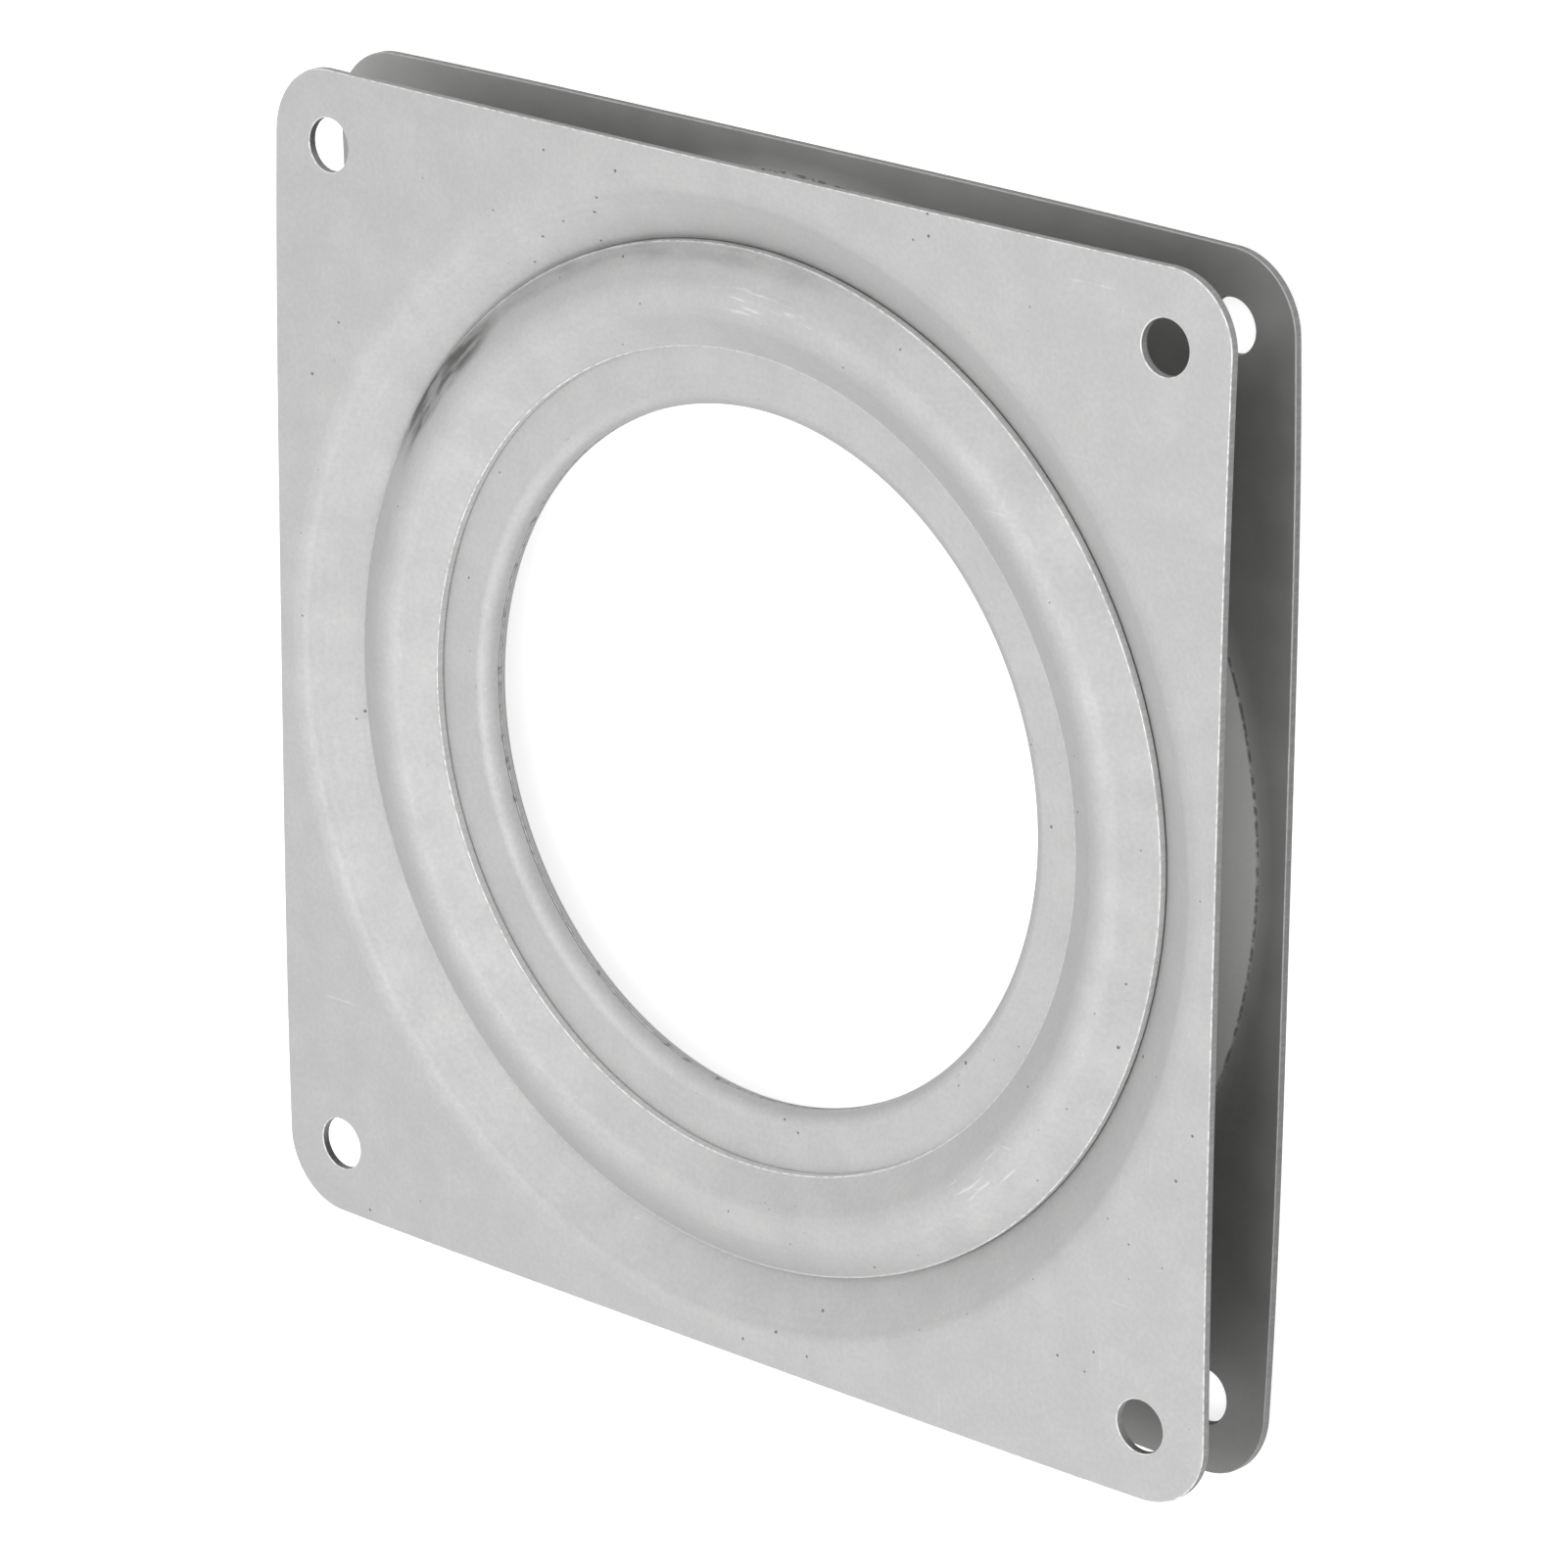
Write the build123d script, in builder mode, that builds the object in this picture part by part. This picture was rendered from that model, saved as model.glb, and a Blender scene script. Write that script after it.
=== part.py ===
from build123d import *
import math
import os

# Square swivel bearing, lying flat on its lower plate. Millimetres, +Z up.
# The origin is the centre of the lower plate's underside, on the turning axis.

# Driving dimensions of the two square plates. Every section is drawn along the middle of its sheet, where
# bend radii are measured.
side = 101.6
corner_r = 6.1
hole_edge_distance = 6.35
hole_r = 2.28
total_height = 9.55
sheet = 0.76
cone_angle = 34.2
cone_foot_bend_r = 0.78
rim_bend_r = 1.4
bead_foot_bend_r = 0.88
floor_gap = 1.19

# Outside the rim's bend the sheet still rises at a shallow angle, and eases into the flat
easing_angle = 12
easing_run = 0.9
easing_bend_r = 6

# The corners are bowed towards the other plate, outside a narrow flat band round the rim
flat_band = 0.34
upper_corner_bow = 0.45
lower_corner_bow = 0.85

# Row of balls, three sixteenths of an inch across, and the groove that reaches round them to the lip
ball_r = 4.7625 / 2
ball_count = 44
track_r = 39.05
groove_ease = 0.2525
ball_clearance = 0.05
lip_angle = 56

# Retaining rings: two straight flanks that just clear the plate's bead and meet in a rounded crown, each with a
# narrow flat margin at its foot
ring_slope = 31.5
ring_clearance = 0.1
ring_crown_r = 2.92
ring_margin = 0.3
ring_margin_bend_r = 0.55
ring_floor_clearance = 0.12
cone_tuck = 0.05

# Hub rings, which carry the retaining rings and line the bore
hub_ledge = 5.1
hub_bend_r = 1.02
hub_play = 0.35

# Heights and radii that follow from the ones above
middle_z = total_height / 2
middle_plane = Plane.XY.offset(middle_z)
flat_z = total_height - sheet / 2
floor_z = middle_z + floor_gap / 2 + sheet / 2
hub_z = floor_z + ring_floor_clearance
groove_r = ball_r + groove_ease
groove_z = middle_z + ball_r + ball_clearance - groove_r
bead_r = groove_r + sheet / 2

# Places along the ring's section, whose inner margin lies on the hub ring's flange
slope = math.radians(ring_slope)
ring_top_z = groove_z + (bead_r + sheet + ring_clearance) / math.cos(slope)
ring_margin_z = hub_z + sheet
ring_half = (ring_top_z - ring_margin_z) / math.tan(slope)
ring_inner_r = track_r - ring_half - ring_margin
ring_outer_r = track_r + ring_half + ring_margin

# Places along the plate's section: the lip at the bore, the bead's crown and foot, the cone, the rim and the flat
lip = math.radians(lip_angle)
lip_end = (track_r - bead_r * math.sin(lip), groove_z + bead_r * math.cos(lip))
bead_crown = (track_r, groove_z + bead_r)
bead_foot = (track_r + math.sqrt(bead_r**2 - (floor_z - groove_z) ** 2), floor_z)
cone_foot_r = ring_outer_r - cone_tuck
rim_z = flat_z - easing_run * math.tan(math.radians(easing_angle))
rim_r = cone_foot_r + (rim_z - floor_z) / math.tan(math.radians(cone_angle))
flat_r = rim_r + easing_run
bow_start_r = flat_r + easing_bend_r * math.tan(math.radians(easing_angle / 2)) + flat_band

# Places along the hub ring's section
plate_bore_r = track_r - (bead_r + sheet / 2) * math.sin(lip)
hub_outer_r = plate_bore_r - hub_play
bore_r = ring_inner_r - hub_ledge
corner_reach = math.hypot(side / 2, side / 2) - corner_r * (math.sqrt(2) - 1)
hole_spacing = side - 2 * hole_edge_distance


def square_plate(corner_bow):
    """Square stamping, flat side up: from its bore the ball groove, the floor, the cone, the rim and the bow."""
    bow_r = (corner_reach - bow_start_r) ** 2 / (2 * corner_bow)
    bow_angle = math.degrees(math.asin((corner_reach - bow_start_r + sheet) / bow_r))
    with BuildPart() as plate:
        with BuildSketch(Plane.XZ):
            with BuildLine() as section:
                ThreePointArc(lip_end, bead_crown, bead_foot)
                FilletPolyline(
                    bead_foot,
                    (cone_foot_r, floor_z),
                    (rim_r, rim_z),
                    (flat_r, flat_z),
                    (bow_start_r, flat_z),
                    radius=(cone_foot_bend_r, rim_bend_r, easing_bend_r),
                )
                CenterArc((bow_start_r, flat_z - bow_r), bow_r, 90, -bow_angle)
                fillet(section.vertices().sort_by_distance(bead_foot)[:1], bead_foot_bend_r)
            trace(line_width=sheet)
        revolve(axis=Axis.Z)
        with BuildSketch():
            RectangleRounded(side, side, corner_r)
        extrude(amount=total_height, mode=Mode.INTERSECT)
        with BuildSketch():
            with GridLocations(hole_spacing, hole_spacing, 2, 2):
                Circle(hole_r)
        extrude(amount=total_height, mode=Mode.SUBTRACT)
    return plate.part


# Upper plate: the stamping with its flat side up
with BuildPart() as upper_plate:
    add(square_plate(upper_corner_bow))

# Lower plate: the same stamping turned over, its flat side on the ground
with BuildPart() as lower_plate:
    mirror(square_plate(lower_corner_bow), about=middle_plane)

# Upper retaining ring: from its inner margin up one flank, round the crown and down to its outer margin
with BuildPart() as upper_retaining_ring:
    with BuildSketch(Plane.XZ):
        with BuildLine():
            FilletPolyline(
                (ring_inner_r, ring_margin_z),
                (track_r - ring_half, ring_margin_z),
                (track_r, ring_top_z),
                (track_r + ring_half, ring_margin_z),
                (ring_outer_r, ring_margin_z),
                radius=(ring_margin_bend_r, ring_crown_r, ring_margin_bend_r),
            )
        trace(line_width=sheet)
    revolve(axis=Axis.Z)

# Lower retaining ring: its mirror image under the lower plate
with BuildPart() as lower_retaining_ring:
    mirror(upper_retaining_ring.part, about=middle_plane)

# Upper hub ring: a flat flange under the retaining ring that rounds over into the bore, down to the middle
with BuildPart() as upper_hub_ring:
    with BuildSketch(Plane.XZ):
        with BuildLine():
            FilletPolyline(
                (bore_r + sheet / 2, middle_z),
                (bore_r + sheet / 2, hub_z),
                (hub_outer_r, hub_z),
                radius=hub_bend_r,
            )
        trace(line_width=sheet)
    revolve(axis=Axis.Z)

# Lower hub ring: its mirror image, meeting it at the middle of the bore
with BuildPart() as lower_hub_ring:
    mirror(upper_hub_ring.part, about=middle_plane)

# Each piece is written under its own name
os.makedirs("parts", exist_ok=True)
upper_plate.part.label = "upper_plate"
export_step(upper_plate.part, "parts/upper_plate.step")
lower_plate.part.label = "lower_plate"
export_step(lower_plate.part, "parts/lower_plate.step")
upper_retaining_ring.part.label = "upper_retaining_ring"
export_step(upper_retaining_ring.part, "parts/upper_retaining_ring.step")
lower_retaining_ring.part.label = "lower_retaining_ring"
export_step(lower_retaining_ring.part, "parts/lower_retaining_ring.step")
upper_hub_ring.part.label = "upper_hub_ring"
export_step(upper_hub_ring.part, "parts/upper_hub_ring.step")
lower_hub_ring.part.label = "lower_hub_ring"
export_step(lower_hub_ring.part, "parts/lower_hub_ring.step")

# Balls: one row, evenly spaced half way between the plates
for number in range(1, ball_count + 1):
    angle = (number - 1) * 360 / ball_count
    with BuildPart(middle_plane) as ball:
        with PolarLocations(track_r, 1, start_angle=angle):
            Sphere(ball_r)
    ball.part.label = f"ball_{number:02d}"
    export_step(ball.part, f"parts/{ball.part.label}.step")
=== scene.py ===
import math

import bpy
import numpy as np
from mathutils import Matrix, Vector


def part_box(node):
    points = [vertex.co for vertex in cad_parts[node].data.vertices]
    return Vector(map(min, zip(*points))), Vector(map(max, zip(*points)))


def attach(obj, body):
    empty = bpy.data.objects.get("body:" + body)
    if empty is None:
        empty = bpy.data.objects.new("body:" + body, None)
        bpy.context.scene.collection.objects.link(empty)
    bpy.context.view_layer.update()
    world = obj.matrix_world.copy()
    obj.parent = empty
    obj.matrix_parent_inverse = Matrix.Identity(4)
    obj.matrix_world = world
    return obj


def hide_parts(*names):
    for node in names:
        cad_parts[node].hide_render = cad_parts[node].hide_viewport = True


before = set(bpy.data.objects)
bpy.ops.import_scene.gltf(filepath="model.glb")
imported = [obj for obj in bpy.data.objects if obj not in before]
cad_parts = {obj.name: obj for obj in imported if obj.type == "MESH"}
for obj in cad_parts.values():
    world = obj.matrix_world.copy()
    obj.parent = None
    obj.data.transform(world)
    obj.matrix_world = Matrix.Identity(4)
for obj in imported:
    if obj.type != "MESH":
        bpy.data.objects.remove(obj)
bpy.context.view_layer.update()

# Upper plate: a square of zinc-coated steel sheet, blanked and drawn in a press. From the lip at its bore it
# has the bead that the balls run in, a floor, a cone up to the rim and a flat with four screw holes. Its
# corners are bowed down a little. The upper retaining ring holds it down on the balls.

MM = 0.001
SHEET = 0.76 * MM
EDGE_ROUND = 0.12 * MM
CORNER_RADIUS = 6.1 * MM
HOLE_EDGE_DISTANCE = 6.35 * MM
HOLE_RADIUS = 2.28 * MM
TRACK_RADIUS = 39.05 * MM
BALL_RADIUS = 4.7625 / 2 * MM
BALL_CLEARANCE = 0.05 * MM
GROOVE_RADIUS = 2.634 * MM
FLOOR_HEIGHT = 5.75 * MM
LIP_ANGLE = math.radians(56)
BEAD_FOOT_ROUND = 0.88 * MM
CONE_FOOT_RADIUS = 43.356 * MM
CONE_FOOT_ROUND = 0.78 * MM
CONE_ANGLE = math.radians(34.2)
RIM_ROUND = 1.4 * MM
EASING_RUN = 0.9 * MM
EASING_ANGLE = math.radians(12)
EASING_ROUND = 6 * MM
FLAT_BAND = 0.34 * MM
UPPER_BOW = 0.45 * MM
INNER_BLEND = 0.4 * MM

# How finely the sheet is divided: round the axis, across half a strip, along a side, round a corner, and from
# each strip's and fan's inner border to its outer one
TURN_STEPS = 400
SIDE_STEPS = 10
SIDE_POINTS = 60
CORNER_POINTS = 25
STRIP_ROWS = 4
FAN_ROWS = 10
FAN_CROWDING = 1.6
BEND_STEP = math.radians(6)
LEAST_STEP = 1e-3 * MM
JOINING_DISTANCE = 1e-4 * MM

plate_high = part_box("upper_plate")[1]
half_side = plate_high.x
middle_height = plate_high.z / 2
flat_height = plate_high.z - SHEET / 2
bead_height = middle_height + BALL_RADIUS + BALL_CLEARANCE - GROOVE_RADIUS


def unit(vector):
    """The vector divided by its length."""
    return vector / np.linalg.norm(vector, axis=-1, keepdims=True)


def bent_line(corners, radii):
    """Line through the corners, each but the two ends rounded by an arc that touches both its sides. Returns
    the points and, at each, the direction that lies to the left of the way along the line."""
    corners = np.array(corners)
    points, lefts = [corners[:1]], []
    for before, corner, after, radius in zip(corners, corners[1:], corners[2:], radii):
        back, ahead = unit(before - corner), unit(after - corner)
        half = math.acos(np.clip(back @ ahead, -1, 1)) / 2
        side = 1.0 if back[0] * ahead[1] > back[1] * ahead[0] else -1.0
        centre = corner + unit(back + ahead) * radius / math.sin(half)
        start = unit(corner + back * radius / math.tan(half) - centre)
        turn = math.pi - 2 * half
        angle = np.linspace(0, -side * turn, max(3, math.ceil(turn / BEND_STEP)))[:, None]
        spoke = np.cos(angle) * start + np.sin(angle) * np.array([-start[1], start[0]])
        points.append(centre + radius * spoke)
        lefts.append(side * spoke)
    points = np.vstack(points + [corners[-1:]])
    lefts = np.vstack([lefts[0][:1]] + lefts + [lefts[-1][-1:]])
    apart = np.linalg.norm(np.diff(points, axis=0), axis=1) > LEAST_STEP
    kept = np.concatenate([[True], apart])
    return points[kept], lefts[kept]


def cut_edge():
    """Rounded outline of a cut edge from the upper face to the lower: two quarter circles with a straight
    wall between them. Returns how far each point stands out and up, and the direction that it faces."""
    angle = np.radians([90, 60, 30, 0, 0, -30, -60, -90])
    core = np.array([1, 1, 1, 1, -1, -1, -1, -1]) * (SHEET / 2 - EDGE_ROUND)
    out, up = np.cos(angle), np.sin(angle)
    return EDGE_ROUND * out, core + EDGE_ROUND * up, out, up


def sheet_skin(line, left, close_outer):
    """Outline of a bent sheet: the line moved half a sheet to its left, from the outer end to the bore, the
    cut edge at the bore, and the line moved half a sheet to its right, back out, with a cut edge there too if
    asked for. Columns are radius, height, the two parts of the facing direction, and how far the point is
    part of a cut edge, from 0 on a face to 1 on a wall."""
    out, up, face_out, face_up = (value[:, None] for value in cut_edge())
    bore_way, rim_way = left[0, ::-1] * (-1, 1), left[-1, ::-1] * (1, -1)
    upper, lower = line + left * SHEET / 2, line - left * SHEET / 2
    last = len(line) - int(close_outer)
    runs = [
        (upper[1:last][::-1], left[1:last][::-1], 0),
        (line[0] + out * bore_way + up * left[0], face_out * bore_way + face_up * left[0], face_out),
        (lower[1:last], -left[1:last], 0),
    ]
    if close_outer:
        rim = line[-1] + (out * rim_way + up * left[-1])[::-1]
        runs.append((rim, (face_out * rim_way + face_up * left[-1])[::-1], face_out[::-1]))
    return np.vstack([np.hstack([points, faces, cut + 0 * points[:, :1]]) for points, faces, cut in runs])


def patch(points, facings, cut, close_rows=False, close_columns=False, flip=False):
    """A grid of points in rows and columns, with the direction that each faces, how far it is a cut wall, and
    the four-cornered faces between neighbours."""
    index = np.arange(points.shape[0] * points.shape[1]).reshape(points.shape[:2])
    if close_rows:
        index = np.vstack([index, index[:1]])
    if close_columns:
        index = np.hstack([index, index[:, :1]])
    quads = np.stack([index[:-1, :-1], index[:-1, 1:], index[1:, 1:], index[1:, :-1]], axis=-1).reshape(-1, 4)
    if flip:
        quads = quads[:, ::-1]
    cut = np.broadcast_to(cut, points.shape[:2]).reshape(-1)
    return points.reshape(-1, 3), facings.reshape(-1, 3), cut, quads


def turned(skin, close_rows):
    """A skin carried once round the upright axis: x and y are its radius times the cosine and the sine of the
    turn."""
    turn = np.linspace(0, 2 * math.pi, TURN_STEPS, endpoint=False)[None, :]
    radius, height, face_out, face_up, cut = (column[:, None] for column in skin.T)
    points = np.stack([radius * np.cos(turn), radius * np.sin(turn), height + 0 * turn], axis=-1)
    facings = np.stack([face_out * np.cos(turn), face_out * np.sin(turn), face_up + 0 * turn], axis=-1)
    return patch(points, facings, cut, close_rows=close_rows, close_columns=True)


def plate_line():
    """Middle line of a plate's sheet from the lip at its bore to the end of the flat band, with its left
    directions. The bead, an arc about the row of balls, is rounded from the place where its tangent at the
    lip meets its tangent at the outer foot, and the foot from where that one meets the floor."""
    bead = GROOVE_RADIUS + SHEET / 2
    foot = FLOOR_HEIGHT - bead_height
    lip = LIP_ANGLE - EDGE_ROUND / bead
    flank = math.acos((foot + BEAD_FOOT_ROUND) / (bead + BEAD_FOOT_ROUND))
    lean, reach = (flank - lip) / 2, bead / math.cos((flank + lip) / 2)
    rim_height = flat_height - EASING_RUN * math.tan(EASING_ANGLE)
    rim = CONE_FOOT_RADIUS + (rim_height - FLOOR_HEIGHT) / math.tan(CONE_ANGLE)
    band = rim + EASING_RUN + EASING_ROUND * math.tan(EASING_ANGLE / 2) + FLAT_BAND
    corners = [
        (TRACK_RADIUS - bead * math.sin(lip), bead_height + bead * math.cos(lip)),
        (TRACK_RADIUS + reach * math.sin(lean), bead_height + reach * math.cos(lean)),
        (TRACK_RADIUS + (bead - foot * math.cos(flank)) / math.sin(flank), FLOOR_HEIGHT),
        (CONE_FOOT_RADIUS, FLOOR_HEIGHT),
        (rim, rim_height),
        (rim + EASING_RUN, flat_height),
        (band, flat_height),
    ]
    return bent_line(corners, [bead, BEAD_FOOT_ROUND, CONE_FOOT_ROUND, RIM_ROUND, EASING_ROUND])


def bowed(flat, above, band, bow):
    """Points a height above the middle of the sheet outside the flat band, where it falls away in an arc. The
    arc's radius is the square of the band's distance from the corner, over twice the bow. Returns the facing
    directions too."""
    corner_reach = math.sqrt(2) * half_side - CORNER_RADIUS * (math.sqrt(2) - 1)
    bow_radius = (corner_reach - band) ** 2 / (2 * bow)
    radius = np.linalg.norm(flat, axis=-1, keepdims=True)
    lean = np.maximum(radius - band, 0) / bow_radius
    upright = np.sqrt(1 - lean**2)
    facing = np.concatenate([flat / radius * lean, upright], axis=-1)
    height = flat_height - bow_radius * (1 - upright) + above
    return np.concatenate([flat + 0 * height, height], axis=-1), facing + 0 * height


def outer_patches(band, bow):
    """The square outside of a plate, as a quarter that is turned four times. The middle of each side is a
    strip between the band's circle and the edge. Each corner is a fan of rays from the screw hole to the
    edge, the circle and the strips' ends. Both are laid on both faces, and cut edges join the faces."""
    out, up, face_out, face_up = (value[:, None, None] for value in cut_edge())
    strip_turn = SIDE_STEPS * 2 * math.pi / TURN_STEPS
    turn = np.linspace(-strip_turn, strip_turn, 2 * SIDE_STEPS + 1)
    strip_ring = band * np.column_stack([np.cos(turn), np.sin(turn)])
    strip_edge = half_side * np.column_stack([np.ones_like(turn), np.tan(turn)])
    strip_way = np.tile([1.0, 0.0], (len(turn), 1))

    centre = half_side - CORNER_RADIUS
    side = np.linspace(half_side * math.tan(strip_turn), centre, SIDE_POINTS)
    bend = np.radians(np.linspace(0, 90, CORNER_POINTS))[1:-1]
    bend_way = np.column_stack([np.cos(bend), np.sin(bend)])
    side_way = np.tile([1.0, 0.0], (SIDE_POINTS, 1))
    side_edge = np.column_stack([np.full(SIDE_POINTS, half_side), side])
    edge = np.vstack([side_edge, centre + CORNER_RADIUS * bend_way, side_edge[::-1, ::-1]])
    way = np.vstack([side_way, bend_way, side_way[:, ::-1]])
    turn = np.linspace(strip_turn, math.pi / 2 - strip_turn, TURN_STEPS // 4 - 2 * SIDE_STEPS + 1)
    ring = band * np.column_stack([np.cos(turn), np.sin(turn)])
    inset = edge - EDGE_ROUND * way
    share = np.linspace(0, 1, STRIP_ROWS)[:, None, None]
    strip = strip_ring * (1 - share) + (strip_edge - EDGE_ROUND * strip_way) * share
    gap = share[1:-1, 0]
    border = np.vstack([
        inset,
        ring[-1] * gap + inset[-1] * (1 - gap),
        ring[::-1],
        ring[0] * (1 - gap) + inset[0] * gap,
    ])
    hole = np.array([half_side - HOLE_EDGE_DISTANCE] * 2)
    spoke = unit(border - hole)
    hole_edge = hole + HOLE_RADIUS * spoke
    share = (np.linspace(0, 1, FAN_ROWS) ** FAN_CROWDING)[:, None, None]
    fan = (hole_edge + EDGE_ROUND * spoke) * (1 - share) + border * share

    patches = []
    for cosine, sine in ((1, 0), (0, 1), (-1, 0), (0, -1)):
        spin = np.array([[cosine, sine], [-sine, cosine]])
        for surface, closed in ((strip, False), (fan, True)):
            for half in (1, -1):
                points, facings = bowed(surface @ spin, half * SHEET / 2, band, bow)
                patches.append(patch(points, half * facings, 0, close_columns=closed, flip=half > 0))
        for base, outward, closed in (
            (strip_edge, strip_way, False),
            (edge, way, False),
            (hole_edge, -spoke, True),
        ):
            outward = outward @ spin
            points, tilt = bowed((base @ spin - EDGE_ROUND * outward) + out * outward, up, band, bow)
            level = np.concatenate([outward, 0 * outward[:, :1]], axis=-1)
            facings = unit(face_out * level + face_up * tilt)
            cut = face_out[..., 0]
            patches.append(patch(points, facings, cut, close_columns=closed, flip=not closed))
    return patches


def sheet_piece(name, patches, turned_over):
    """Joins patches where their points meet, turns them over about the middle height where asked for, and
    puts points, faces and facing directions into a mesh. Each point has two marks: how far it is part of a
    cut edge, and how far it faces the other plate, which is where its height above the middle times the
    upright part of its facing direction is below 0."""
    starts = np.cumsum([0] + [len(part[0]) for part in patches])
    points, facings, cut = (np.concatenate([part[column] for part in patches]) for column in range(3))
    quads = np.vstack([part[3] + start for part, start in zip(patches, starts)])
    if turned_over:
        points = points * (1, 1, -1) + (0, 0, 2 * middle_height)
        facings = facings * (1, 1, -1)
        quads = quads[:, ::-1]
    cell = np.round(points / JOINING_DISTANCE).astype(np.int64)
    _, kept, place = np.unique(cell, axis=0, return_index=True, return_inverse=True)
    mesh = bpy.data.meshes.new(name)
    mesh.from_pydata(points[kept], [], place.reshape(-1)[quads])
    inward = (middle_height - points[kept, 2]) * facings[kept, 2]
    for mark, value in (("cut", cut[kept]), ("inner", np.clip(inward / INNER_BLEND, 0, 1))):
        mesh.attributes.new(mark, "FLOAT", "POINT").data.foreach_set("value", value.astype(np.float32))
    mesh.polygons.foreach_set("use_smooth", np.ones(len(mesh.polygons), bool))
    mesh.validate()
    mesh.normals_split_custom_set_from_vertices(facings[kept].tolist())
    piece = bpy.data.objects.new(name, mesh)
    bpy.context.scene.collection.objects.link(piece)
    return piece


def plate(name, bow, turned_over):
    """A whole plate: its turned middle and its square outside."""
    line, left = plate_line()
    middle = turned(sheet_skin(line, left, close_outer=False), close_rows=False)
    return sheet_piece(name, [middle] + outer_patches(line[-1, 0], bow), turned_over)


ZINC_LIGHT = (0.635, 0.635, 0.632, 1)
ZINC_DULL = (0.565, 0.566, 0.565, 1)
# Bright for hairlines and rubbed places, and for arrises, where it is partly wear and partly a painted
# highlight
WEAR_AND_HIGHLIGHT_BRIGHT = (0.88, 0.88, 0.875, 1)
# Cut-wall colours that paint in light: the grey is painted shade on the plates' cut walls and also colours
# dirt dashes on the hubs; the bright one is a painted highlight on the rings' and hubs' cut walls
WALL_SHADE_AND_DIRT_GREY = (0.36, 0.36, 0.357, 1)
HIGHLIT_WALL_BRIGHT = (0.82, 0.82, 0.815, 1)
SPECK_COLOUR = (0.13, 0.13, 0.128, 1)
PAINTED_SHADE_GREY = (0.47, 0.47, 0.465, 1)

# The finish's patterns: how fine each one is, per metre, how it is turned, where it ends and how deep it is
MOTTLE_SCALE = 240
GRAIN_SCALE = 2600
SPECK_SCALE = 480
SPECK_GROUP_SCALE = 60
HAIRLINE_SCALES = (60, 2600, 2600)
HAIRLINE_TURN = (0, 0, 0.6)
CROSS_HAIRLINE_SCALES = (2900, 80, 2900)
CROSS_HAIRLINE_TURN = (0, 0, 0.25)
SHEAR_MARK_SCALES = (4200, 4200, 500)
ARRIS_WEAR_SCALE = 1700
DIE_RINGS_END = 50 * MM
GRAIN_DEPTH = 0.004 * MM
DIE_RING_DEPTH = 0.003 * MM
MOTTLE_DEPTH = 0.012 * MM
SHEAR_MARK_DEPTH = 0.012 * MM

# The sockets of a colour mix go by number: how much, the colour under, the colour over, and the result
MIX_AMOUNT, MIX_UNDER, MIX_OVER, MIX_RESULT = 0, 6, 7, 2


def add_node(tree, kind, inputs, **settings):
    """A node of a kind in a tree, with each input joined to the socket given for it or set to the value
    given."""
    made = tree.nodes.new("ShaderNode" + kind)
    for key, value in settings.items():
        setattr(made, key, value)
    for key, value in inputs.items():
        if isinstance(value, bpy.types.NodeSocket):
            tree.links.new(value, made.inputs[key])
        else:
            made.inputs[key].default_value = value
    return made


def between(tree, value, low, high, to_low=0.0, to_high=1.0):
    """The value carried smoothly from one range to another, and held at its ends."""
    inputs = {"Value": value, "From Min": low, "From Max": high, "To Min": to_low, "To Max": to_high}
    return add_node(tree, "MapRange", inputs, interpolation_type="SMOOTHSTEP").outputs["Result"]


def reckoned(tree, operation, *values):
    """The result of an operation on values, such as MULTIPLY_ADD: the first times the second, plus the
    third."""
    return add_node(tree, "Math", dict(enumerate(values)), operation=operation).outputs["Value"]


def product(tree, first, second):
    """Two values multiplied."""
    return reckoned(tree, "MULTIPLY", first, second)


def painted(tree, colour, amount, over):
    """The colour covered by another one to a given amount."""
    inputs = {MIX_AMOUNT: amount, MIX_UNDER: colour, MIX_OVER: over}
    return add_node(tree, "Mix", inputs, data_type="RGBA").outputs[MIX_RESULT]


def grain(tree, place, scale, detail=3.0, stretch=(1, 1, 1), turn=(0, 0, 0)):
    """Noise of a scale in the piece's own coordinates, turned and then drawn out along its axes."""
    held = add_node(tree, "Mapping", {"Vector": place, "Rotation": turn, "Scale": stretch})
    noise = add_node(tree, "TexNoise", {"Vector": held.outputs["Vector"], "Scale": scale, "Detail": detail})
    return noise.outputs["Fac"]


def line_at(tree, value, centre, half_width):
    """A soft line where the value comes near to a centre: 1 within two fifths of half its width, and 0 from
    half its width away."""
    away = reckoned(tree, "ABSOLUTE", reckoned(tree, "SUBTRACT", value, centre))
    return between(tree, away, 0.4 * half_width, half_width, 1.0, 0.0)


def pitted(tree, height, depth, *before):
    """The facing direction after a pattern of a depth is pressed into the surface, over any pattern before
    it."""
    inputs = {"Strength": 1.0, "Distance": depth, "Height": height}
    inputs.update({"Normal": normal for normal in before})
    return add_node(tree, "Bump", inputs).outputs["Normal"]


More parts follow.
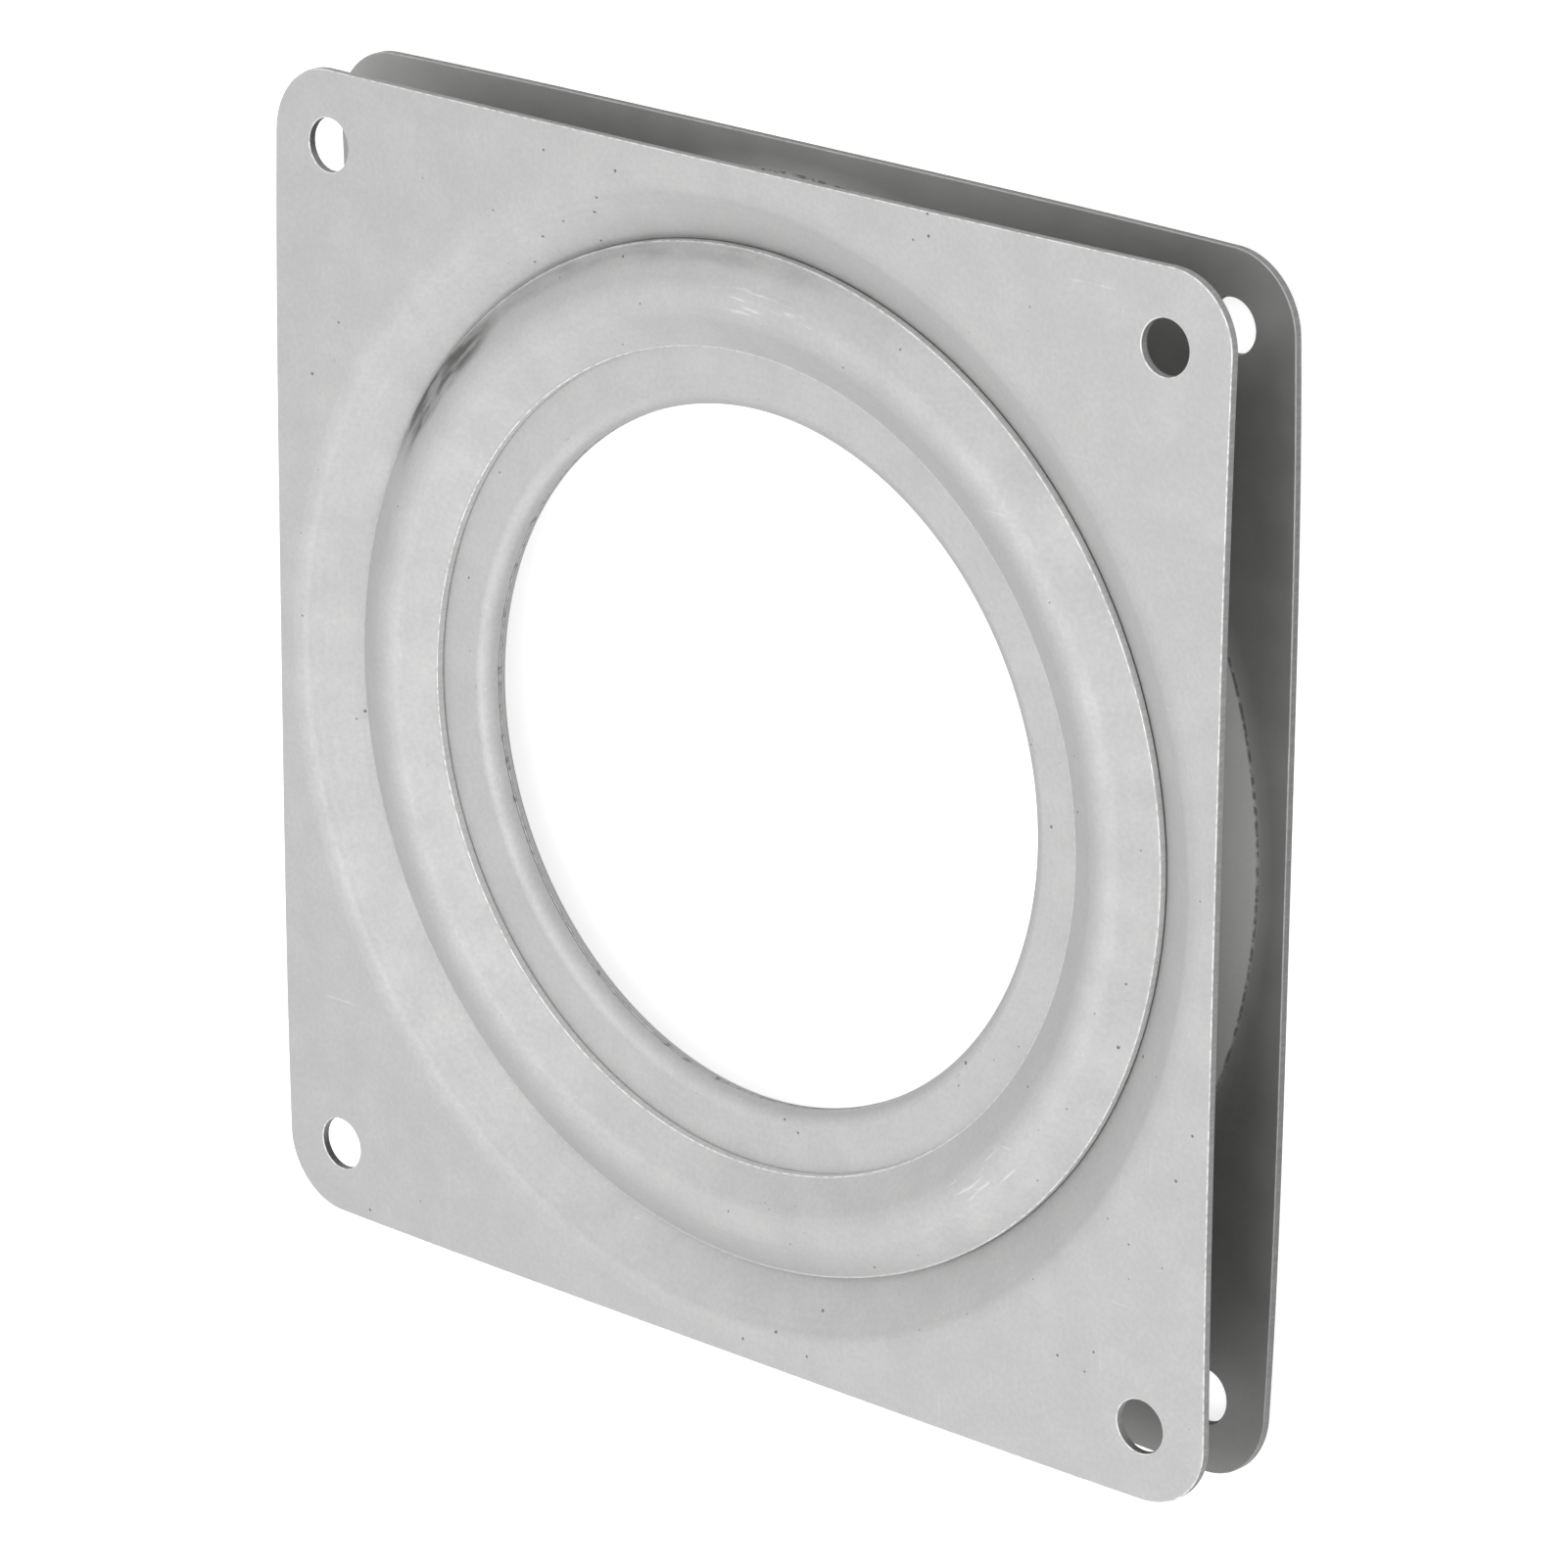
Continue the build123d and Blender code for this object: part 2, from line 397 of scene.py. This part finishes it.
def zinc_finish(name, wall_light_and_shade_colour):
    """Bright zinc on pressed steel. The tone is a slow mottle, a fine grain and faint rings left by the dies.
    Over it lie small dark specks, hairline scratches, and sheared edges with upright marks in a wall colour
    given per
    piece, which paints in their light: lighter as a painted highlight on the rings and hubs, darker as
    painted shade on the plates. Arrises are painted bright, partly as wear and partly as a painted highlight.
    Returns the material, and its coordinates, height, radius, mottle and colour for the wear, dirt and
    painted shade of single pieces."""
    material = bpy.data.materials.new(name)
    material.use_nodes = True
    tree = material.node_tree
    shader = tree.nodes["Principled BSDF"]
    place = add_node(tree, "TexCoord", {}).outputs["Object"]
    parts = add_node(tree, "SeparateXYZ", {"Vector": place}).outputs
    flat_place = add_node(tree, "CombineXYZ", {"X": parts["X"], "Y": parts["Y"]}).outputs["Vector"]
    radius = add_node(tree, "VectorMath", {0: flat_place}, operation="LENGTH").outputs["Value"]
    mottle = grain(tree, place, MOTTLE_SCALE, 6)
    fine = grain(tree, place, GRAIN_SCALE, 4)
    die_inputs = {"W": radius, "Scale": GRAIN_SCALE, "Detail": 3}
    die_noise = add_node(tree, "TexNoise", die_inputs, noise_dimensions="1D").outputs["Fac"]
    die_reach = between(tree, radius, DIE_RINGS_END - MM, DIE_RINGS_END + MM, 1.0, 0.4)
    die = product(tree, die_noise, die_reach)
    tone = reckoned(tree, "MULTIPLY_ADD", mottle, 0.42, 0.2)
    tone = reckoned(tree, "MULTIPLY_ADD", fine, 0.42, tone)
    tone = reckoned(tree, "MULTIPLY_ADD", die, 0.1, tone)
    colour = painted(tree, ZINC_DULL, between(tree, tone, 0.45, 0.95), ZINC_LIGHT)

    specks = add_node(tree, "TexVoronoi", {"Vector": place, "Scale": SPECK_SCALE}).outputs["Distance"]
    speck_reach = between(tree, grain(tree, place, SPECK_GROUP_SCALE, 2), 0.42, 0.7, 0.0, 0.075)
    speck_edge = reckoned(tree, "SUBTRACT", speck_reach, specks)
    speck = between(tree, speck_edge, -0.02, 0.015, 0.0, 0.75)
    colour = painted(tree, colour, speck, SPECK_COLOUR)
    hairs = grain(tree, place, 1, 2, HAIRLINE_SCALES, HAIRLINE_TURN)
    cross_hairs = grain(tree, place, 1, 2, CROSS_HAIRLINE_SCALES, CROSS_HAIRLINE_TURN)
    hair = reckoned(tree, "MAXIMUM", hairs, cross_hairs)
    hair = product(tree, between(tree, hair, 0.70, 0.80), between(tree, mottle, 0.45, 0.65))
    colour = painted(tree, colour, product(tree, hair, 0.4), WEAR_AND_HIGHLIGHT_BRIGHT)

    sheared = add_node(tree, "Attribute", {}, attribute_name="cut").outputs["Fac"]
    shear_marks = grain(tree, place, 1, 3, SHEAR_MARK_SCALES)
    # The wall colour passed in paints light: a painted highlight on the rings' and hubs' cut walls, painted
    # shade on the plates'
    wall_colour = painted(tree, wall_light_and_shade_colour, between(tree, shear_marks, 0.3, 0.9, 0.0, 0.5), ZINC_DULL)
    colour = painted(tree, colour, between(tree, sheared, 0.8, 0.98), wall_colour)
    # Arrises painted bright: partly wear, partly a painted highlight along the rounded edges
    arris = line_at(tree, sheared, 0.5, 0.48)
    wear_and_highlight = product(tree, arris, between(tree, grain(tree, place, ARRIS_WEAR_SCALE, 4), 0.38, 0.58, 0.2, 1.0))
    colour = painted(tree, colour, wear_and_highlight, WEAR_AND_HIGHLIGHT_BRIGHT)

    dull = between(tree, tone, 0.45, 0.95, 0.63, 0.53)
    rough = reckoned(tree, "MULTIPLY_ADD", wear_and_highlight, -0.2, dull)
    normal = pitted(tree, fine, GRAIN_DEPTH)
    normal = pitted(tree, die, DIE_RING_DEPTH, normal)
    normal = pitted(tree, mottle, MOTTLE_DEPTH, normal)
    normal = pitted(tree, product(tree, shear_marks, sheared), SHEAR_MARK_DEPTH, normal)
    shader.inputs["Metallic"].default_value = 1
    tree.links.new(colour, shader.inputs["Base Color"])
    tree.links.new(rough, shader.inputs["Roughness"])
    tree.links.new(normal, shader.inputs["Normal"])
    marks = {"place": place, "height": parts["Z"], "radius": radius, "mottle": mottle, "colour": colour}
    return material, marks


CREASE_RADIUS = 48.2 * MM
CREASE_HALF_WIDTH = 0.16 * MM
CREASE_DASH_SCALE = 1700
SHADE_DARKEST_Y = -50 * MM
SHADE_END_Y = 30 * MM

# The faces between the plates are painted a darker grey as painted shade between the plates, and darker still
# towards one side as a painted shade gradient. Dark dashes along the rim's crease are partly painted shade in
# the crease and partly the punch's imprint.
# The plates' cut walls take the grey wall colour as painted shade
plate_zinc, plate_marks = zinc_finish("plate_zinc_coat", WALL_SHADE_AND_DIRT_GREY)
plate_tree = plate_zinc.node_tree
inside = add_node(plate_tree, "Attribute", {}, attribute_name="inner").outputs["Fac"]
# Dark dashes along the rim's crease on the faces between the plates: partly painted shade in the crease,
# partly the punch's imprint
crease = line_at(plate_tree, plate_marks["radius"], CREASE_RADIUS, CREASE_HALF_WIDTH)
crease_dashes = grain(plate_tree, plate_marks["place"], CREASE_DASH_SCALE, 2)
crease_shade_and_marks = product(plate_tree, crease, between(plate_tree, crease_dashes, 0.35, 0.6, 0.1, 0.8))
crease_shade_and_marks = product(plate_tree, inside, crease_shade_and_marks)
# Painted shade: the faces between the plates are painted a darker grey
painted_shade_between_plates = product(plate_tree, inside, between(plate_tree, plate_marks["mottle"], 0.3, 0.7, 0.75, 1.0))
# Painted shade: the faces between the plates are darker towards low y
across = add_node(plate_tree, "SeparateXYZ", {"Vector": plate_marks["place"]}).outputs["Y"]
shade_gradient_reach = between(plate_tree, across, SHADE_DARKEST_Y, SHADE_END_Y, 0.42, 0.0)
painted_shade_gradient = product(plate_tree, inside, shade_gradient_reach)
plate_colour = painted(plate_tree, plate_marks["colour"], painted_shade_between_plates, PAINTED_SHADE_GREY)
plate_colour = painted(plate_tree, plate_colour, painted_shade_gradient, SPECK_COLOUR)
plate_colour = painted(plate_tree, plate_colour, crease_shade_and_marks, SPECK_COLOUR)
plate_tree.links.new(plate_colour, plate_tree.nodes["Principled BSDF"].inputs["Base Color"])

upper_plate = plate("upper_plate_pressing", UPPER_BOW, turned_over=False)
upper_plate.data.materials.append(plate_zinc)
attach(upper_plate, "upper_plate")
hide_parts("upper_plate")

# Lower plate: the same pressing turned over, so that the two make the rolling track between them. It lies on
# its flat and carries the rest. Its corners are bowed a little more than the upper one's.

LOWER_BOW = 0.85 * MM

lower_plate = plate("lower_plate_pressing", LOWER_BOW, turned_over=True)
lower_plate.data.materials.append(plate_zinc)
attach(lower_plate, "lower_plate")
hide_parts("lower_plate")

# Hub rings: two flanged rings of the same sheet that meet edge to edge in the plates' bores and make the wall
# of the open centre. Each is spot welded to the retaining ring over it, and the pair holds the bearing
# together.

BORE_RADIUS = 29.594 * MM
HUB_HEIGHT = 5.87 * MM
HUB_OUTER = 35.886 * MM
HUB_BEND = 1.02 * MM
MOUTH_DIRT_RADIUS = BORE_RADIUS + 1.35 * MM
MOUTH_DIRT_HALF_WIDTH = 0.08 * MM
SEAM_DIRT_HALF_WIDTH = 0.4 * MM
WALL_DEPTH = 0.2 * MM
WALL_BLEND = 0.1 * MM
DIRT_SCALE = 1100


def hub_ring(name, turned_over):
    """A hub ring: a line up the bore's wall from the seam, round the bend and out along the flange, carried
    once round."""
    wall = BORE_RADIUS + SHEET / 2
    seam = (wall, middle_height + EDGE_ROUND)
    line, left = bent_line([seam, (wall, HUB_HEIGHT), (HUB_OUTER - EDGE_ROUND, HUB_HEIGHT)], [HUB_BEND])
    return sheet_piece(name, [turned(sheet_skin(line, left, close_outer=True), close_rows=True)], turned_over)


# Dirt has settled in the seam between the two rings, and in dashes along the start of their rounded mouths
# The hubs' cut walls take the bright wall colour as a painted highlight
hub_zinc, hub_marks = zinc_finish("hub_zinc_coat", HIGHLIT_WALL_BRIGHT)
hub_tree = hub_zinc.node_tree
hub_dashes = between(hub_tree, grain(hub_tree, hub_marks["place"], DIRT_SCALE, 4), 0.55, 0.7, 0.0, 0.5)
mouth_line = line_at(hub_tree, hub_marks["radius"], MOUTH_DIRT_RADIUS, MOUTH_DIRT_HALF_WIDTH)
wall_end = BORE_RADIUS + WALL_DEPTH
on_wall = between(hub_tree, hub_marks["radius"], wall_end, wall_end + WALL_BLEND, 1.0, 0.0)
seam_line = line_at(hub_tree, hub_marks["height"], middle_height, SEAM_DIRT_HALF_WIDTH)
seam_line = product(hub_tree, seam_line, on_wall)
hub_colour = painted(hub_tree, hub_marks["colour"], product(hub_tree, mouth_line, hub_dashes), WALL_SHADE_AND_DIRT_GREY)
hub_colour = painted(hub_tree, hub_colour, product(hub_tree, seam_line, hub_dashes), SPECK_COLOUR)
hub_tree.links.new(hub_colour, hub_tree.nodes["Principled BSDF"].inputs["Base Color"])

for name, node, turned_over in (
    ("upper_hub_stamping", "upper_hub_ring", False),
    ("lower_hub_stamping", "lower_hub_ring", True),
):
    hub = hub_ring(name, turned_over)
    hub.data.materials.append(hub_zinc)
    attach(hub, "centre_rings")
    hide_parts(node)

# Balls: a row of hardened steel balls that roll between the two plates' beads, here with a film of grease.
# They are the solids of the frame, which need only their finish.

BALL_COLOUR = (0.55, 0.54, 0.52, 1)
BALL_GREASE = (0.30, 0.27, 0.22, 1)
BALL_ROUGHNESS = 0.16
BALL_GREASE_ROUGHNESS = 0.35
BALL_FILM_SCALE = 900

ball_steel = bpy.data.materials.new("ball_steel_greased")
ball_steel.use_nodes = True
ball_tree = ball_steel.node_tree
ball_shader = ball_tree.nodes["Principled BSDF"]
ball_shader.inputs["Metallic"].default_value = 1
ball_place = add_node(ball_tree, "TexCoord", {}).outputs["Object"]
ball_film = grain(ball_tree, ball_place, BALL_FILM_SCALE, 4)
ball_tint = add_node(ball_tree, "ValToRGB", {"Fac": ball_film})
grease_end, clean_end = ball_tint.color_ramp.elements
grease_end.position = 0.35
grease_end.color = BALL_GREASE
clean_end.position = 0.65
clean_end.color = BALL_COLOUR
ball_rough_inputs = {"Value": ball_film, "To Min": BALL_GREASE_ROUGHNESS, "To Max": BALL_ROUGHNESS}
ball_rough = add_node(ball_tree, "MapRange", ball_rough_inputs)
ball_tree.links.new(ball_tint.outputs["Color"], ball_shader.inputs["Base Color"])
ball_tree.links.new(ball_rough.outputs["Result"], ball_shader.inputs["Roughness"])

for name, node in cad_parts.items():
    if name.startswith("ball_"):
        node.data.materials.clear()
        node.data.materials.append(ball_steel)

# Retaining rings: a ring of the same sheet over each plate's bead, drawn to two straight flanks and a rounded
# crown between two flat margins. The inner margin lies on the hub's flange, where it is welded. The outer one
# hangs just over the plate's floor.

RING_SLOPE = math.radians(31.5)
RING_CLEARANCE = 0.1 * MM
RING_CROWN = 2.92 * MM
RING_MARGIN = 0.3 * MM
RING_MARGIN_BEND = 0.55 * MM


def retaining_ring(name, turned_over):
    """A retaining ring: a line along its inner margin, up one flank, round the crown and down to its outer
    margin, turned."""
    top = bead_height + (GROOVE_RADIUS + 1.5 * SHEET + RING_CLEARANCE) / math.cos(RING_SLOPE)
    foot = HUB_HEIGHT + SHEET
    half = (top - foot) / math.tan(RING_SLOPE)
    end = half + RING_MARGIN - EDGE_ROUND
    reach = TRACK_RADIUS + np.array([-end, -half, 0, half, end])
    corners = np.column_stack([reach, (foot, foot, top, foot, foot)])
    line, left = bent_line(corners, [RING_MARGIN_BEND, RING_CROWN, RING_MARGIN_BEND])
    return sheet_piece(name, [turned(sheet_skin(line, left, close_outer=True), close_rows=True)], turned_over)


# Dark grease, also used for painted shade on the ring's outer flank
GREASE_AND_SHADE_COLOUR = (0.10, 0.10, 0.097, 1)
SMEAR_TURN = 2.48
SMEAR_HALF_TURN = 0.24
SMEAR_START = 40.5 * MM
SMEAR_FULL = 41.8 * MM
FLANK_SHADE_TURN = 1.95
FLANK_SHADE_HALF_TURN = 0.85
FLANK_SHADE_START = 41.2 * MM
FLANK_SHADE_FULL = 42.8 * MM
BACK_RUB_TURN = 1.47
BACK_RUB_HALF_TURN = 0.2
FRONT_RUB_TURN = -0.82
FRONT_RUB_HALF_TURN = 0.16
RUB_RADIUS = 39.5 * MM
RUB_HALF_WIDTH = 2.2 * MM
STREAK_SCALES = (260, 1100, 1)
RUB_LINE_SCALES = (260, 2800, 1)

# Handling left a smear of dark grease on the upper ring's outer flank, and two places on its crown are rubbed
# bright. A wider band of the outer flank is painted darker with the grease colour as painted shade. The
# streaks
# follow the ring: they are drawn in the turn times the track's radius, and the radius.
# The ring's cut walls take the bright wall colour as a painted highlight
greased_zinc, ring_marks = zinc_finish("greased_ring_zinc_coat", HIGHLIT_WALL_BRIGHT)
ring_tree = greased_zinc.node_tree
ring_radius = ring_marks["radius"]
ring_parts = add_node(ring_tree, "SeparateXYZ", {"Vector": ring_marks["place"]}).outputs
ring_turn = reckoned(ring_tree, "ARCTAN2", ring_parts["Y"], ring_parts["X"])
arc_place = product(ring_tree, ring_turn, TRACK_RADIUS)
unrolled = add_node(ring_tree, "CombineXYZ", {"X": arc_place, "Y": ring_radius}).outputs["Vector"]
streaks = grain(ring_tree, unrolled, 1, 5, STREAK_SCALES)
smear = line_at(ring_tree, ring_turn, SMEAR_TURN, SMEAR_HALF_TURN)
smear = product(ring_tree, smear, between(ring_tree, ring_radius, SMEAR_START, SMEAR_FULL))
smear = product(ring_tree, smear, between(ring_tree, streaks, 0.36, 0.6, 0.3, 0.8))
# Painted shade: a band of the outer flank near the ring's edge darkened with the grease colour
painted_flank_shade = line_at(ring_tree, ring_turn, FLANK_SHADE_TURN, FLANK_SHADE_HALF_TURN)
painted_flank_shade = product(ring_tree, painted_flank_shade, between(ring_tree, ring_radius, FLANK_SHADE_START, FLANK_SHADE_FULL))
painted_flank_shade = product(ring_tree, painted_flank_shade, between(ring_tree, streaks, 0.3, 0.7, 0.12, 0.3))
back_rub = line_at(ring_tree, ring_turn, BACK_RUB_TURN, BACK_RUB_HALF_TURN)
front_rub = line_at(ring_tree, ring_turn, FRONT_RUB_TURN, FRONT_RUB_HALF_TURN)
rubs = reckoned(ring_tree, "MAXIMUM", back_rub, front_rub)
rubs = product(ring_tree, rubs, line_at(ring_tree, ring_radius, RUB_RADIUS, RUB_HALF_WIDTH))
rub_lines = grain(ring_tree, unrolled, 1, 3, RUB_LINE_SCALES)
rubs = product(ring_tree, rubs, between(ring_tree, rub_lines, 0.56, 0.7, 0.0, 0.45))
ring_colour = painted(ring_tree, ring_marks["colour"], painted_flank_shade, GREASE_AND_SHADE_COLOUR)
ring_colour = painted(ring_tree, ring_colour, smear, GREASE_AND_SHADE_COLOUR)
ring_colour = painted(ring_tree, ring_colour, rubs, WEAR_AND_HIGHLIGHT_BRIGHT)
ring_tree.links.new(ring_colour, ring_tree.nodes["Principled BSDF"].inputs["Base Color"])

for name, node, turned_over, finish in (
    ("upper_ring_stamping", "upper_retaining_ring", False, greased_zinc),
    ("lower_ring_stamping", "lower_retaining_ring", True, plate_zinc),
):
    ring = retaining_ring(name, turned_over)
    ring.data.materials.append(finish)
    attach(ring, "centre_rings")
    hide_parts(node)

# Floor, light and camera: a plain white floor under a plain white sky and four wide soft lamps, with the
# camera looking down on the part from its right.

FLOOR_SIZE = 6.0
CAMERA_PLACE = (0.39752, 0.20676, 0.45162)
CAMERA_TURN = (-18.92, 41.623, 0.504)
CAMERA_LENS = 178.43
CAMERA_SENSOR = 36
WHITE = (1, 1, 1, 1)
PAPER_WHITE = (0.8, 0.8, 0.8, 1)
PAPER_ROUGHNESS = 0.9
PAPER_GLOW = 0.7
SKY_LEVEL = 0.87
LAMP_SIZE = 0.9

floor_mesh = bpy.data.meshes.new("floor")
floor_corners = FLOOR_SIZE * np.array([(-1, -1, 0), (1, -1, 0), (1, 1, 0), (-1, 1, 0)])
floor_mesh.from_pydata(floor_corners, [], [(0, 1, 2, 3)])
floor = bpy.data.objects.new("floor", floor_mesh)
bpy.context.scene.collection.objects.link(floor)
floor_paper = bpy.data.materials.new("floor_paper")
floor_paper.use_nodes = True
paper_tree = floor_paper.node_tree
paper_seen = add_node(paper_tree, "LightPath", {}).outputs["Is Camera Ray"]
paper_glow = add_node(paper_tree, "MapRange", {"Value": paper_seen, "To Max": PAPER_GLOW}).outputs["Result"]
paper_shader = paper_tree.nodes["Principled BSDF"]
paper_shader.inputs["Base Color"].default_value = PAPER_WHITE
paper_shader.inputs["Roughness"].default_value = PAPER_ROUGHNESS
paper_shader.inputs["Emission Color"].default_value = WHITE
paper_tree.links.new(paper_glow, paper_shader.inputs["Emission Strength"])
floor_mesh.materials.append(floor_paper)

sky = bpy.data.worlds.new("sky")
bpy.context.scene.world = sky
sky.use_nodes = True
sky_tree = sky.node_tree
sky_rays = add_node(sky_tree, "LightPath", {}).outputs
sky_seen = reckoned(sky_tree, "MAXIMUM", sky_rays["Is Camera Ray"], sky_rays["Is Transmission Ray"])
sky_inputs = {"Value": sky_seen, "To Min": SKY_LEVEL, "To Max": 1.0}
sky_strength = add_node(sky_tree, "MapRange", sky_inputs).outputs["Result"]
sky_shader = sky_tree.nodes["Background"]
sky_shader.inputs["Color"].default_value = WHITE
sky_tree.links.new(sky_strength, sky_shader.inputs["Strength"])

for name, place, lean, level in (
    ("lamp_above", (0, 0, 1.0), (0, 0), 2.1),
    ("lamp_right", (0.9, 0, 0.5), (0, 61), 0.4),
    ("lamp_behind", (0, 0.9, 0.5), (-61, 0), 0.45),
    ("lamp_in_front", (0, -0.9, 0.5), (61, 0), 1.3),
):
    lamp_data = bpy.data.lights.new(name, "AREA")
    lamp_data.shape = "SQUARE"
    lamp_data.size = LAMP_SIZE
    lamp_data.energy = level
    lamp = bpy.data.objects.new(name, lamp_data)
    lamp.location = place
    lamp.rotation_euler = (math.radians(lean[0]), math.radians(lean[1]), 0)
    bpy.context.scene.collection.objects.link(lamp)

camera_data = bpy.data.cameras.new("camera")
camera_data.lens = CAMERA_LENS
camera_data.sensor_width = CAMERA_SENSOR
camera = bpy.data.objects.new("camera", camera_data)
camera.location = CAMERA_PLACE
camera.rotation_euler = [math.radians(angle) for angle in CAMERA_TURN]
bpy.context.scene.collection.objects.link(camera)
bpy.context.scene.camera = camera
bpy.context.scene.view_settings.view_transform = "Standard"
